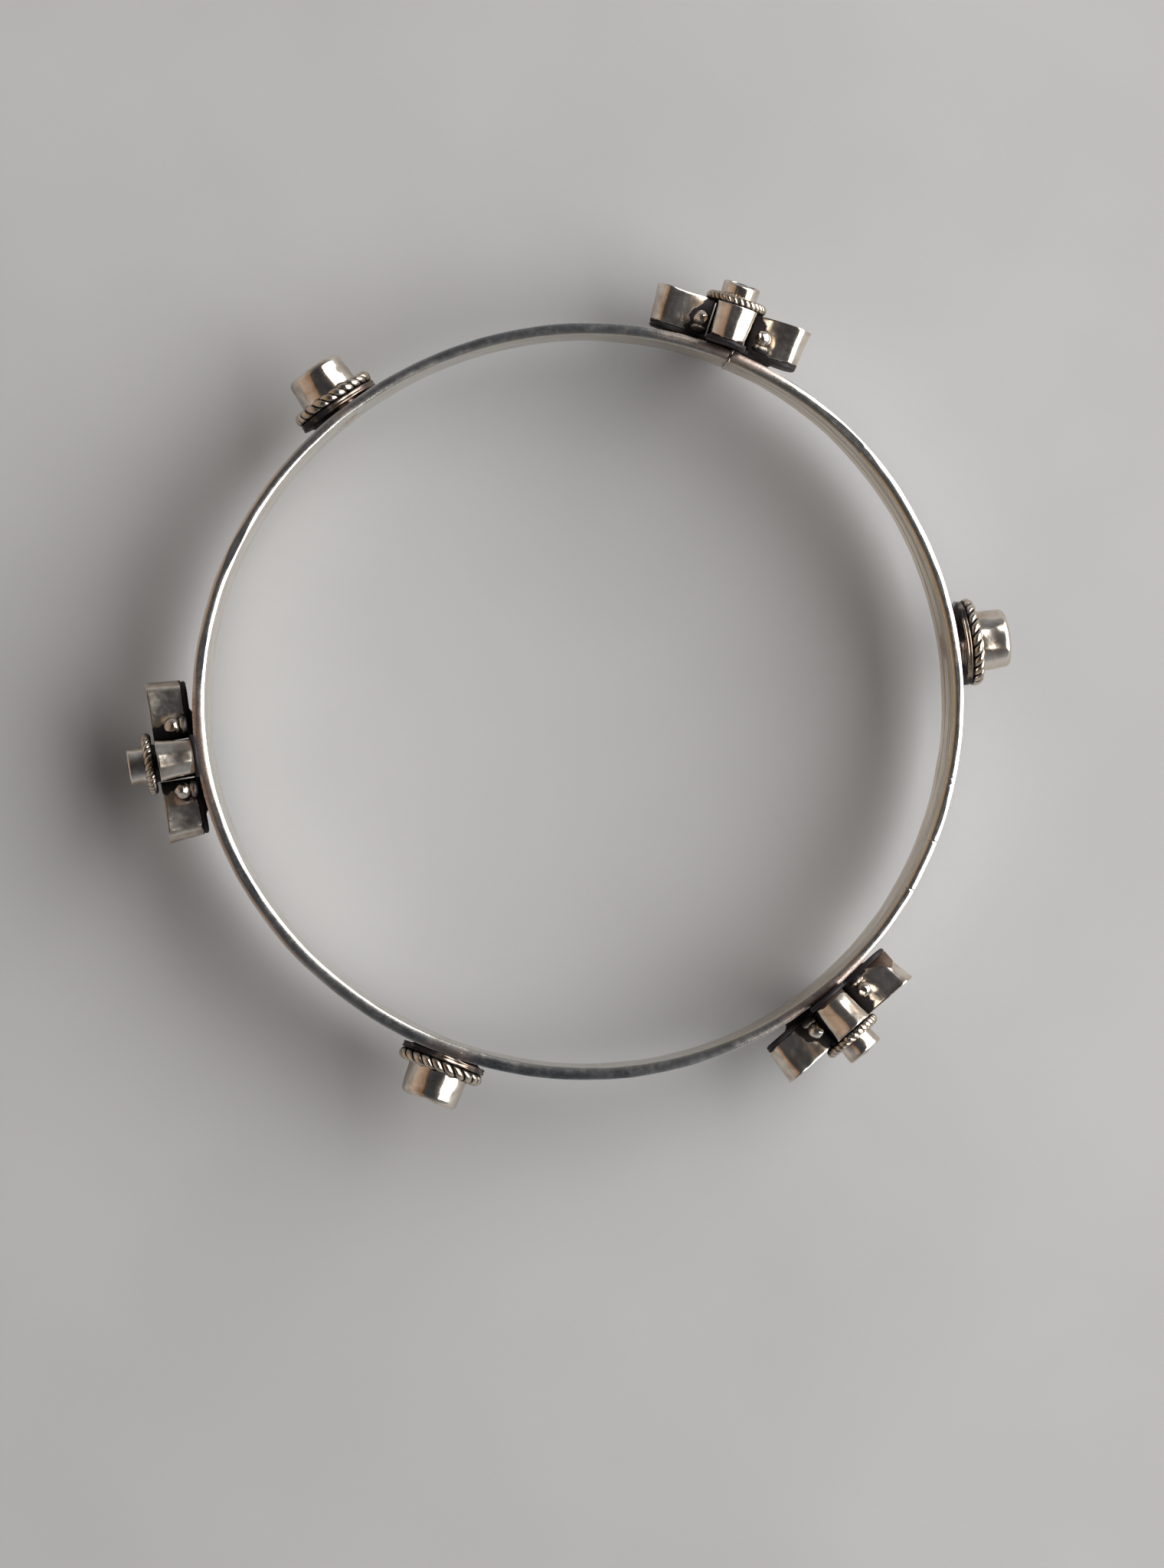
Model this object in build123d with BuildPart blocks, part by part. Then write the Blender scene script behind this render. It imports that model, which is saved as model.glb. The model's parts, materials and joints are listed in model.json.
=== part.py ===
"""Handmade silver bangle: a closed band carrying three flower settings and three round settings.

The origin is the centre of the wrist opening, and +Z runs along the opening's axis.
Each ornament is drawn flat on its own plane, which stands on the outside of the band:
local x runs round the band, local y along +Z, and local z away from the wrist.
"""

import os
from math import cos, radians, sin

from build123d import *

os.makedirs("parts", exist_ok=True)

# Band: a flat strip bent to a ring, its edges well rounded.
wrist_radius = 31.5
band_thickness = 1.0
band_height = 7.4
edge_radius = 0.32
seam_width = 0.3
seam_angle = 88.0
band_radius = wrist_radius + band_thickness

# Where the six ornaments stand, as angles from +X.
flower_angles = {"flower_1": 89.5, "flower_2": 209.7, "flower_3": 330.9}
round_angles = {"round_1": 30.1, "round_2": 150.8, "round_3": 270.5}

# How far each hand-set ornament is off true: turned about its own x axis, then its own y axis.
set_angles = {
    "flower_1": (-2.0, 3.8),
    "flower_2": (-3.2, 0.9),
    "flower_3": (-5.0, 1.4),
    "round_1": (3.0, -1.2),
    "round_2": (0.0, -5.0),
    "round_3": (-3.0, 0.0),
}

# How thick the solder is between the band and the middle of each ornament.
solder_gaps = {
    "flower_1": 0.18,
    "flower_2": 0.24,
    "flower_3": 0.38,
    "round_1": 0.46,
    "round_2": 0.33,
    "round_3": 0.20,
}

# Flower: heights are measured from the underside of its plate.
plate_thickness = 0.4
plate_margin = 0.1
petal_height = 3.25
petal_wall = 0.32
petal_inner = 1.95
petal_inner_half = 0.95
petal_shoulder_half = 1.88
petal_neck = 4.3
petal_neck_half = 1.76
petal_shoulder = 6.2
petal_tip = 7.0
tip_blunt = 0.25
foot_length = 8.6
foot_width = 5.6
foot_depth = 1.5

# The corner granules: a ball on a small wire ring, each flattened where it is soldered.
granule_offset = 2.78
seat_height = 0.68
seat_radius = 0.66
seat_bevel = 0.17
granule_radius = 0.69
granule_flat = 0.05

# Rope and central tube setting of the flower.
flower_rope_radius = 0.43
flower_rope_outer = 2.7
crown_radius = 1.65
crown_wall = 0.33
crown_height = 5.5
crown_lip = 0.28

# Round setting: heights are measured from the underside of its disc.
disc_radius = 3.68
disc_thickness = 0.5
round_foot_radius = 2.9
round_rope_radius = 0.52
round_rope_outer = 3.78
tube_radius = 2.72
tube_wall = 0.4
tube_height = 3.65
tube_lip = 0.45

# Stones: how far the girdle and the crest stand under or over the lip, and the fit in the wall.
stone_clearance = 0.02
petal_stone_thickness = 1.1
petal_stone_drop = 0.45
crown_stone_thickness = 1.2
crown_stone_rise = 0.1
round_stone_thickness = 1.6
round_stone_drop = 0.3
girdle_drop = 0.1
petal_stone_bevel = 0.3
lip_edge = 0.07


def setting_plane(name, angle):
    """The plane an ornament is drawn on: the underside of its plate or disc."""
    turn = radians(angle)
    outward = Vector(cos(turn), sin(turn), 0)
    centre = outward * (band_radius + solder_gaps[name])
    around = (-sin(turn), cos(turn), 0)
    lean, tilt = set_angles[name]
    level = Plane(centre, x_dir=around, z_dir=outward)
    return Plane(level.location * Rotation(lean, tilt, 0))


def upright(ground):
    """The plane through a setting's own axis: x is distance from the axis, y is height."""
    return Plane(ground.origin, x_dir=ground.x_dir, z_dir=-ground.y_dir)


def axis_of(ground):
    """The axis of a setting, away from the wrist."""
    return Axis(ground.origin, ground.z_dir)


def finish(builder, label):
    """Name a finished piece and write it."""
    builder.part.label = label
    export_step(builder.part, f"parts/{label}.step")


def petal_points(turn):
    """Corners of one petal's outline: narrow inside, wide shoulders, a blunt point outside."""
    along_and_across = [
        (petal_inner, -petal_inner_half),
        (petal_neck, -petal_neck_half),
        (petal_shoulder, -petal_shoulder_half),
        (petal_tip, -tip_blunt),
        (petal_tip, tip_blunt),
        (petal_shoulder, petal_shoulder_half),
        (petal_neck, petal_neck_half),
        (petal_inner, petal_inner_half),
    ]
    c, s = cos(radians(turn)), sin(radians(turn))
    return [(u * c - v * s, u * s + v * c) for u, v in along_and_across]


def domed_profile(radius, bottom, girdle, crest):
    """Half profile of a cabochon: flat base, upright girdle, top domed as part of a sphere."""
    Polyline((radius, girdle), (radius, bottom), (0, bottom), (0, crest))
    sphere_radius = (radius**2 + (crest - girdle) ** 2) / (2 * (crest - girdle))
    RadiusArc((radius, girdle), (0, crest), -sphere_radius)


def bezel_profile(radius, wall, bottom, top, lip):
    """Half profile of a tube setting: an upright wall whose top is rolled in over the stone."""
    Line((radius - wall, bottom), (radius, bottom))
    Line((radius, bottom), (radius, top - lip))
    RadiusArc((radius, top - lip), (radius - lip, top), -lip)
    edge = (radius - lip - lip_edge, top - lip_edge)
    Polyline((radius - lip, top), edge, (radius - wall, top - lip), (radius - wall, bottom))


# ---------------------------------------------------------------- band
strip_centre = (wrist_radius + band_thickness / 2, 0)

with BuildSketch(Plane.XZ) as strip_section:
    with Locations(strip_centre):
        Rectangle(band_thickness, band_height)
    fillet(vertices(), edge_radius)

# The slot where the strip's two ends meet: cut from the band, and filled with solder.
with BuildSketch(Plane.XY.rotated((0, 0, seam_angle))) as seam_slot:
    with Locations(strip_centre):
        Rectangle(3 * band_thickness, seam_width)

with BuildPart() as band:
    revolve(strip_section.sketch, axis=Axis.Z)
    extrude(seam_slot.sketch, amount=band_height, both=True, mode=Mode.SUBTRACT)
finish(band, "band")

with BuildPart() as band_seam_solder:
    revolve(strip_section.sketch, axis=Axis.Z)
    extrude(seam_slot.sketch, amount=band_height, both=True, mode=Mode.INTERSECT)
finish(band_seam_solder, "band_seam_solder")

# ---------------------------------------------------------------- flowers
petal_turns = {"petal_left": 0, "petal_upper": 90, "petal_right": 180, "petal_lower": 270}
corner_signs = [(1, 1), (-1, 1), (-1, -1), (1, -1)]
lip_height = plate_thickness + petal_height
crown_top = plate_thickness + crown_height
petal_bed_top = lip_height - petal_stone_drop - petal_stone_thickness
crown_bed_top = crown_top + crown_stone_rise - crown_stone_thickness
crown_inner = crown_radius - crown_wall

for flower, angle in flower_angles.items():
    ground = setting_plane(flower, angle)
    on_plate = ground.offset(plate_thickness)
    corners = [(x * granule_offset, y * granule_offset) for x, y in corner_signs]

    with BuildPart() as solder_foot:
        with BuildSketch(ground):
            Ellipse(foot_length / 2, foot_width / 2)
        extrude(amount=-foot_depth)
        with BuildSketch(Plane.XY.offset(-band_height)):
            Circle(band_radius)
        extrude(amount=2 * band_height, mode=Mode.SUBTRACT)
    finish(solder_foot, f"{flower}_solder_foot")

    with BuildPart() as base_plate:
        with BuildSketch(ground):
            Circle(petal_inner + petal_inner_half)
            for turn in petal_turns.values():
                with BuildLine():
                    Polyline(*petal_points(turn), close=True)
                make_face()
            offset(amount=plate_margin)
        extrude(amount=plate_thickness)
    finish(base_plate, f"{flower}_base_plate")

    for petal_name, turn in petal_turns.items():
        with BuildPart() as petal:
            with BuildSketch(on_plate):
                with BuildLine():
                    Polyline(*petal_points(turn), close=True)
                make_face()
                offset(amount=-petal_wall, mode=Mode.SUBTRACT)
            extrude(amount=petal_height)
        finish(petal, f"{flower}_{petal_name}")

    with BuildPart() as stone_beds:
        with BuildSketch(on_plate):
            for turn in petal_turns.values():
                with BuildLine():
                    Polyline(*petal_points(turn), close=True)
                make_face()
            offset(amount=-petal_wall)
        extrude(amount=petal_bed_top - plate_thickness)
        with BuildSketch(on_plate):
            Circle(crown_inner)
        extrude(amount=crown_bed_top - plate_thickness)
    finish(stone_beds, f"{flower}_stone_beds")

    with BuildPart() as petal_stones:
        with BuildSketch(ground.offset(petal_bed_top)):
            for turn in petal_turns.values():
                with BuildLine():
                    Polyline(*petal_points(turn), close=True)
                make_face()
            offset(amount=-petal_wall - stone_clearance)
        extrude(amount=petal_stone_thickness)
        crests = petal_stones.faces().group_by(axis_of(ground))[-1]
        chamfer(crests.edges(), petal_stone_bevel)
    finish(petal_stones, f"{flower}_petal_stones")

    with BuildPart() as granule_seats:
        with BuildSketch(on_plate):
            with Locations(*corners):
                Circle(seat_radius)
        extrude(amount=seat_height)
        chamfer(granule_seats.edges().filter_by(GeomType.CIRCLE), seat_bevel)
    finish(granule_seats, f"{flower}_granule_seats")

    with BuildPart() as granules:
        centre_height = seat_height + granule_radius - granule_flat
        with Locations(on_plate.offset(centre_height)):
            with Locations(*corners):
                Sphere(granule_radius)
        split(bisect_by=on_plate.offset(seat_height), keep=Keep.TOP)
    finish(granules, f"{flower}_granules")

    with BuildPart() as rope_ring:
        with BuildSketch(upright(ground)):
            with Locations((flower_rope_outer - flower_rope_radius, lip_height + flower_rope_radius)):
                Circle(flower_rope_radius)
        revolve(axis=axis_of(ground))
    finish(rope_ring, f"{flower}_rope_ring")

    with BuildPart() as crown_bezel:
        with BuildSketch(upright(ground)):
            with BuildLine():
                bezel_profile(crown_radius, crown_wall, plate_thickness, crown_top, crown_lip)
            make_face()
        revolve(axis=axis_of(ground))
    finish(crown_bezel, f"{flower}_crown_bezel")

    with BuildPart() as crown_stone:
        with BuildSketch(upright(ground)):
            with BuildLine():
                domed_profile(
                    crown_inner - stone_clearance,
                    crown_bed_top,
                    crown_top - crown_lip - girdle_drop,
                    crown_top + crown_stone_rise,
                )
            make_face()
        revolve(axis=axis_of(ground))
    finish(crown_stone, f"{flower}_crown_stone")

# ---------------------------------------------------------------- round settings
tube_top = disc_thickness + tube_height
tube_inner = tube_radius - tube_wall
round_bed_top = tube_top - round_stone_drop - round_stone_thickness

for setting, angle in round_angles.items():
    ground = setting_plane(setting, angle)
    on_disc = ground.offset(disc_thickness)

    with BuildPart() as solder_foot:
        with BuildSketch(ground):
            Circle(round_foot_radius)
        extrude(amount=-foot_depth)
        with BuildSketch(Plane.XY.offset(-band_height)):
            Circle(band_radius)
        extrude(amount=2 * band_height, mode=Mode.SUBTRACT)
    finish(solder_foot, f"{setting}_solder_foot")

    with BuildPart() as base_disc:
        with BuildSketch(ground):
            Circle(disc_radius)
        extrude(amount=disc_thickness)
    finish(base_disc, f"{setting}_base_disc")

    with BuildPart() as rope_ring:
        with BuildSketch(upright(ground)):
            with Locations((round_rope_outer - round_rope_radius, disc_thickness + round_rope_radius)):
                Circle(round_rope_radius)
        revolve(axis=axis_of(ground))
    finish(rope_ring, f"{setting}_rope_ring")

    with BuildPart() as tube_bezel:
        with BuildSketch(upright(ground)):
            with BuildLine():
                bezel_profile(tube_radius, tube_wall, disc_thickness, tube_top, tube_lip)
            make_face()
        revolve(axis=axis_of(ground))
    finish(tube_bezel, f"{setting}_tube_bezel")

    with BuildPart() as stone_bed:
        with BuildSketch(on_disc):
            Circle(tube_inner)
        extrude(amount=round_bed_top - disc_thickness)
    finish(stone_bed, f"{setting}_stone_bed")

    with BuildPart() as stone:
        with BuildSketch(upright(ground)):
            with BuildLine():
                domed_profile(
                    tube_inner - stone_clearance,
                    round_bed_top,
                    tube_top - tube_lip - girdle_drop,
                    tube_top - round_stone_drop,
                )
            make_face()
        revolve(axis=axis_of(ground))
    finish(stone, f"{setting}_stone")
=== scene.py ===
"""Handmade silver bangle with three flower settings and three round settings, as it lies on a table."""

import json
import math

import bpy
import numpy as np
from mathutils import Matrix, Vector


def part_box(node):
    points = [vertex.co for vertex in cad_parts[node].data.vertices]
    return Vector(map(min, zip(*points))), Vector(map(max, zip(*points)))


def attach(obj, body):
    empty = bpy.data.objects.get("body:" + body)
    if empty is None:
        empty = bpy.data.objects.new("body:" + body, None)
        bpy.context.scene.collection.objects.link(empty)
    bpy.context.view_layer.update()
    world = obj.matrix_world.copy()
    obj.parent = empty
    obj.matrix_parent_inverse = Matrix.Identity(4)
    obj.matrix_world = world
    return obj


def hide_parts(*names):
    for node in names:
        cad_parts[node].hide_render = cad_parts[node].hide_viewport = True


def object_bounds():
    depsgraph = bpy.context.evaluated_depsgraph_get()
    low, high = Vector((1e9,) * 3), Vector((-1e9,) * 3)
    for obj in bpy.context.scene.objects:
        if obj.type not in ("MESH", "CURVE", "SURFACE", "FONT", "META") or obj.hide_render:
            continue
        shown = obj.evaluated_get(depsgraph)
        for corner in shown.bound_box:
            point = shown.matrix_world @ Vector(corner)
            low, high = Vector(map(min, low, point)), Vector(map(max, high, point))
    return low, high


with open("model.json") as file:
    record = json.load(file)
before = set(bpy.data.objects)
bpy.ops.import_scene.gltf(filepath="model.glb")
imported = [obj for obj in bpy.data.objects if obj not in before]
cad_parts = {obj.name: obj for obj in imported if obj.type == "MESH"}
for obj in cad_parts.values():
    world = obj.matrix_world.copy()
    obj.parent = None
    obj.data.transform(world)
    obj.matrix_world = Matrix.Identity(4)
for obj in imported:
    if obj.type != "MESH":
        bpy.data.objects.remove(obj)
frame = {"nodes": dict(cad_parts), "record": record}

cad_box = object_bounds()
MM = 0.001
TURN = 2 * math.pi
FLOWERS = ("flower_1", "flower_2", "flower_3")
ROUNDS = ("round_1", "round_2", "round_3")

# ------------------------------------------------------------------ small helpers


def smooth(low, high, value):
    """0 below low, 1 above high, and an even S between them; low may be the larger."""
    t = np.clip((np.asarray(value, float) - low) / (high - low), 0, 1)
    return t * t * (3 - 2 * t)


def wobble(points, size, seed):
    """An even, seeded unevenness of about -1 to 1 whose bumps are about size apart."""
    rng = np.random.default_rng(seed)
    total = np.zeros(len(points))
    waves = 9
    for _ in range(waves):
        way = rng.normal(size=3)
        way *= math.tau / size * rng.uniform(0.6, 1.3) / np.linalg.norm(way)
        total += np.sin(points @ way + rng.uniform(0, math.tau))
    return total / math.sqrt(waves)


def gauss(value, width):
    return np.exp(-((np.asarray(value, float) / width) ** 2))


def angle_gap(angle, centre):
    """Signed difference of two angles, in radians."""
    return (np.asarray(angle) - centre + math.pi) % TURN - math.pi


# ------------------------------------------------------------------ the frame's own sizes, in mm


def box_mm(node):
    low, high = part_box(node)
    return np.array(low) / MM, np.array(high) / MM


def centre_mm(node):
    low, high = box_mm(node)
    return (low + high) / 2


wrist = frame["record"]["mounts"][0]["dims"]["r_mm"]
band_low, band_high = box_mm("band")
band_radius = band_high[0]
band_thickness = band_radius - wrist
band_half = band_high[2]

# The strip was bent and hammered by hand, so it isn't quite a circle. Each unevenness below is its
# size in mm and the angle in degrees where it is greatest.
OFF_CENTRE = (0.10, -35)
OVAL = (0.25, 35)
THREE_CORNERED = (0.20, -35)
# How far the upper rim stands out past the lower one, all round, more on one side, and twisted.
LEAN_ALL_ROUND = 0.10
LEAN_ONE_SIDE = (0.10, -110)
LEAN_TWISTED = (0.20, 15)
# Where the strip is thicker: on one side, and at two opposite places.
THICK_ONE_SIDE = (0.10, -125)
THICK_TWO_SIDES = (0.10, 75)


def waves(angle, count, unevenness):
    """A number of even waves round the ring."""
    size, peak = unevenness
    return size * np.cos(count * (angle - math.radians(peak)))


def ring_shift(angle):
    """How far the bent strip stands off the true circle at this angle."""
    return waves(angle, 1, OFF_CENTRE) + waves(angle, 2, OVAL) + waves(angle, 3, THREE_CORNERED)


def strip_radius(angle, depth, z):
    """Radius of the strip at a height and a depth in from its outer face; its wall leans a little."""
    lean = LEAN_ALL_ROUND + waves(angle, 1, LEAN_ONE_SIDE) + waves(angle, 2, LEAN_TWISTED)
    thicker = waves(angle, 1, THICK_ONE_SIDE) + waves(angle, 2, THICK_TWO_SIDES)
    outer = band_radius + ring_shift(angle) + lean * z / (2 * band_half)
    return outer - depth * (1 + thicker / band_thickness)


class Setting:
    """An ornament's own frame: x round the band, y along the opening's axis, z outward."""

    def __init__(self, name, plate):
        self.name = name
        base, rope = centre_mm(f"{name}_{plate}"), centre_mm(f"{name}_rope_ring")
        self.out = (rope - base) / np.linalg.norm(rope - base)
        self.round = np.cross((0, 0, 1), self.out)
        self.round /= np.linalg.norm(self.round)
        self.up = np.cross(self.out, self.round)
        self.axes = np.array([self.round, self.up, self.out])
        # span() measures from the origin, so it is the plate's middle until its underside is known.
        self.origin = base
        self.origin = base + self.out * self.span(plate)[0][2]
        self.angle = math.atan2(base[1], base[0])
        away = np.array([math.cos(self.angle), math.sin(self.angle), 0])
        self.shift = away * float(ring_shift(self.angle))

    def span(self, piece):
        """Lowest and highest x, y and z of one of this setting's CAD nodes."""
        mesh = frame["nodes"][f"{self.name}_{piece}"].data
        points = np.array([v.co for v in mesh.vertices]) / MM
        local = (points - self.origin) @ self.axes.T
        return local.min(0), local.max(0)

    def world(self, points):
        return points @ self.axes + self.origin + self.shift


SETTINGS = {name: Setting(name, "base_plate") for name in FLOWERS}
SETTINGS.update({name: Setting(name, "base_disc") for name in ROUNDS})


# ------------------------------------------------------------------ meshes


def make_piece(name, points, faces, material, nodes, slot, oxide=None, **marks):
    """A smooth-shaded piece from points in mm in the row frame, standing for those CAD nodes."""
    points = np.clip(points, np.array(cad_box[0]) / MM, np.array(cad_box[1]) / MM)
    mesh = bpy.data.meshes.new(f"{name}_visual")
    mesh.from_pydata([tuple(p) for p in np.asarray(points) * MM], [], faces)
    mesh.polygons.foreach_set("use_smooth", [True] * len(mesh.polygons))
    if oxide is not None:
        marks["oxide"] = oxide
    for label, values in marks.items():
        layer = mesh.attributes.new(label, "FLOAT", "POINT")
        layer.data.foreach_set("value", np.clip(values, 0, 1).astype(np.float32))
    mesh.materials.append(material)
    mesh.update()
    piece = bpy.data.objects.new(f"{name}_visual", mesh)
    bpy.context.scene.collection.objects.link(piece)
    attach(piece, "root")
    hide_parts(*nodes)


def grid_faces(rows, columns, close_rows=False, close_columns=True, start=0):
    """Quads of a grid of points, row by row; a closed direction joins its end to its start."""
    faces = []
    for r in range(rows if close_rows else rows - 1):
        r2 = (r + 1) % rows
        for c in range(columns if close_columns else columns - 1):
            c2 = (c + 1) % columns
            corners = (r * columns + c, r * columns + c2, r2 * columns + c2, r2 * columns + c)
            faces.append(tuple(start + i for i in corners))
    return faces


def join(parts):
    """Several (points, faces, oxide and painted shade mark) as one."""
    points, faces, oxide, count = [], [], [], 0
    for p, f, o in parts:
        points.append(p)
        faces += [tuple(i + count for i in face) for face in f]
        oxide.append(o)
        count += len(p)
    return np.concatenate(points), faces, np.concatenate(oxide)


def stacked_faces(rows, columns):
    """Faces of closed outlines stacked one over the other, with a cap at each end."""
    bottom = tuple(reversed(range(columns)))
    top = tuple((rows - 1) * columns + c for c in range(columns))
    return grid_faces(rows, columns) + [bottom, top]


def lathe(profile, columns, closed=False):
    """A profile of (radius, height) turned about z: capped if closed, or else joined end to start."""
    profile = np.asarray(profile, float)
    rows = len(profile)
    turn = np.arange(columns) * TURN / columns
    radius, height = profile[:, :1], profile[:, 1:]
    points = np.stack(
        [radius * np.cos(turn), radius * np.sin(turn), height + 0 * turn], -1
    ).reshape(-1, 3)
    if closed:
        return points, stacked_faces(rows, columns)
    return points, grid_faces(rows, columns, close_rows=True)


def arc(centre, radius, start, end, count):
    """Points of an arc in the profile plane, angles in degrees."""
    a = np.radians(np.linspace(start, end, count))
    return np.stack([centre[0] + radius * np.cos(a), centre[1] + radius * np.sin(a)], -1)


def runs(*points, step=0.12):
    """A polyline filled in so that no step is longer than step."""
    out = [np.array(points[0], float)]
    for a, b in zip(points, points[1:]):
        a, b = np.array(a, float), np.array(b, float)
        n = max(1, math.ceil(np.linalg.norm(b - a) / step))
        out += [a + (b - a) * i / n for i in range(1, n + 1)]
    return np.array(out)


def rounded_loop(corners, cuts, count):
    """A closed outline with its corners rounded, as count points evenly spaced along it."""
    corners = np.asarray(corners, float)
    path = []
    for i, p in enumerate(corners):
        before, after = corners[i - 1], corners[(i + 1) % len(corners)]
        a = p + (before - p) * cuts[i] / np.linalg.norm(before - p)
        b = p + (after - p) * cuts[i] / np.linalg.norm(after - p)
        for t in np.linspace(0, 1, 7):
            path.append((1 - t) ** 2 * a + 2 * t * (1 - t) * p + t * t * b)
    path = np.array(path + path[:1])
    length = np.concatenate([[0], np.cumsum(np.linalg.norm(np.diff(path, axis=0), axis=1))])
    at = np.arange(count) * length[-1] / count
    return np.stack([np.interp(at, length, path[:, k]) for k in (0, 1)], -1)


def loop_normals(loop):
    """Outward normals of a closed outline that runs anticlockwise."""
    along = np.roll(loop, -1, 0) - np.roll(loop, 1, 0)
    out = np.stack([along[:, 1], -along[:, 0]], -1)
    return out / np.linalg.norm(out, axis=1, keepdims=True)


# ------------------------------------------------------------------ materials


class Nodes:
    """A short way to write a material's node tree."""

    def __init__(self, name):
        self.material = bpy.data.materials.new(name)
        self.material.use_nodes = True
        self.tree = self.material.node_tree
        self.shader = next(n for n in self.tree.nodes if n.type == "BSDF_PRINCIPLED")
        self.place = self.add("ShaderNodeTexCoord").outputs["Object"]

    def add(self, kind, **settings):
        node = self.tree.nodes.new(kind)
        for key, value in settings.items():
            setattr(node, key, value)
        return node

    def put(self, socket, value):
        if isinstance(value, bpy.types.NodeSocket):
            self.tree.links.new(value, socket)
        else:
            socket.default_value = value

    def math(self, operation, a, b=0.0, clamp=False):
        node = self.add("ShaderNodeMath", operation=operation, use_clamp=clamp)
        self.put(node.inputs[0], a)
        self.put(node.inputs[1], b)
        return node.outputs[0]

    def noise(self, scale_mm, detail=4.0, roughness=0.55, stretch=(1, 1, 1), distortion=0.0):
        """Noise whose bumps are about scale_mm across."""
        mapping = self.add("ShaderNodeMapping")
        self.put(mapping.inputs["Vector"], self.place)
        mapping.inputs["Scale"].default_value = stretch
        node = self.add("ShaderNodeTexNoise")
        self.put(node.inputs["Vector"], mapping.outputs[0])
        node.inputs["Scale"].default_value = 1 / (scale_mm * MM)
        node.inputs["Detail"].default_value = detail
        node.inputs["Roughness"].default_value = roughness
        node.inputs["Distortion"].default_value = distortion
        return node.outputs["Fac"]

    def ramp(self, value, low, high, at_low=0.0, at_high=1.0):
        node = self.add("ShaderNodeMapRange", interpolation_type="SMOOTHSTEP")
        self.put(node.inputs["Value"], value)
        for key, number in (("From Min", low), ("From Max", high), ("To Min", at_low), ("To Max", at_high)):
            node.inputs[key].default_value = number
        return node.outputs["Result"]

    def mix(self, factor, a, b):
        node = self.add("ShaderNodeMix", data_type="RGBA")
        self.put(node.inputs[0], factor)
        for socket, value in ((node.inputs[6], a), (node.inputs[7], b)):
            self.put(socket, value if isinstance(value, bpy.types.NodeSocket) else (*value, 1.0))
        return node.outputs[2]

    def attribute(self, name):
        return self.add("ShaderNodeAttribute", attribute_name=name).outputs["Fac"]

    def bump(self, height, strength, distance_mm, under=None):
        node = self.add("ShaderNodeBump")
        node.inputs["Strength"].default_value = strength
        node.inputs["Distance"].default_value = distance_mm * MM
        self.put(node.inputs["Height"], height)
        if under is not None:
            self.put(node.inputs["Normal"], under)
        return node.outputs[0]


def silver(name, clean, warm, oxide, rough=0.16, relief=1.0):
    """Polished silver: warm tarnish in patches, fine pits and scuffs, and where it is marked, oxide and
    painted shade.
    """
    n = Nodes(name)
    patches = n.ramp(n.noise(1.7, detail=4, distortion=0.4), 0.36, 0.68)
    grime = n.noise(0.28, detail=5, roughness=0.6)
    mark = n.attribute("oxide")
    ragged = n.math("ADD", mark, n.math("MULTIPLY", n.math("SUBTRACT", grime, 0.5), 0.45))
    dark = n.ramp(ragged, 0.3, 0.72)
    metal = n.mix(n.math("MULTIPLY", patches, 0.7), clean, warm)
    n.put(n.shader.inputs["Base Color"], n.mix(dark, metal, oxide))
    n.put(n.shader.inputs["Metallic"], n.ramp(dark, 0.0, 1.0, 1.0, 0.6))
    scuffs = n.noise(0.45, detail=7, roughness=0.65, stretch=(1, 1, 2))
    sheen = n.ramp(scuffs, 0.3, 0.75, rough * 0.85, rough * 1.25)
    n.put(n.shader.inputs["Roughness"], n.math("ADD", sheen, n.math("MULTIPLY", dark, 0.3), clamp=True))
    soft = n.bump(n.noise(1.1, detail=2), 1.0, 0.03 * relief)
    pits = n.bump(n.noise(0.13, detail=3), 1.0, 0.0025 * relief, under=soft)
    n.put(n.shader.inputs["Normal"], n.bump(scuffs, 1.0, 0.005 * relief, under=pits))
    return n.material


# Clean metal, warm tarnish, and the dark colour laid where the mark says: oxide, and painted shade in
# recesses and under parts.
SILVER, WARM, OXIDE_AND_SHADE = (0.78, 0.715, 0.63), (0.42, 0.32, 0.235), (0.030, 0.025, 0.026)
ROPE_SILVER, ROPE_WARM, ROPE_OXIDE_AND_SHADE = (0.66, 0.58, 0.48), (0.44, 0.33, 0.23), (0.022, 0.019, 0.023)
LOW_OXIDE_AND_SHADE = (0.024, 0.020, 0.022)
bezel_metal = silver("bezel_silver", SILVER, WARM, OXIDE_AND_SHADE, rough=0.21, relief=0.5)
tube_metal = silver("tube_silver", SILVER, WARM, OXIDE_AND_SHADE, rough=0.16, relief=0.45)
rope_metal = silver("rope_silver", ROPE_SILVER, ROPE_WARM, ROPE_OXIDE_AND_SHADE, rough=0.18)
granule_metal = silver("granule_silver", (0.80, 0.735, 0.65), WARM, OXIDE_AND_SHADE, rough=0.14, relief=0.8)
plate_metal = silver("plate_silver", (0.34, 0.28, 0.23), (0.22, 0.16, 0.12), LOW_OXIDE_AND_SHADE, rough=0.26)
solder_metal = silver("solder", (0.52, 0.46, 0.42), (0.34, 0.22, 0.18), LOW_OXIDE_AND_SHADE, rough=0.28)


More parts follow.
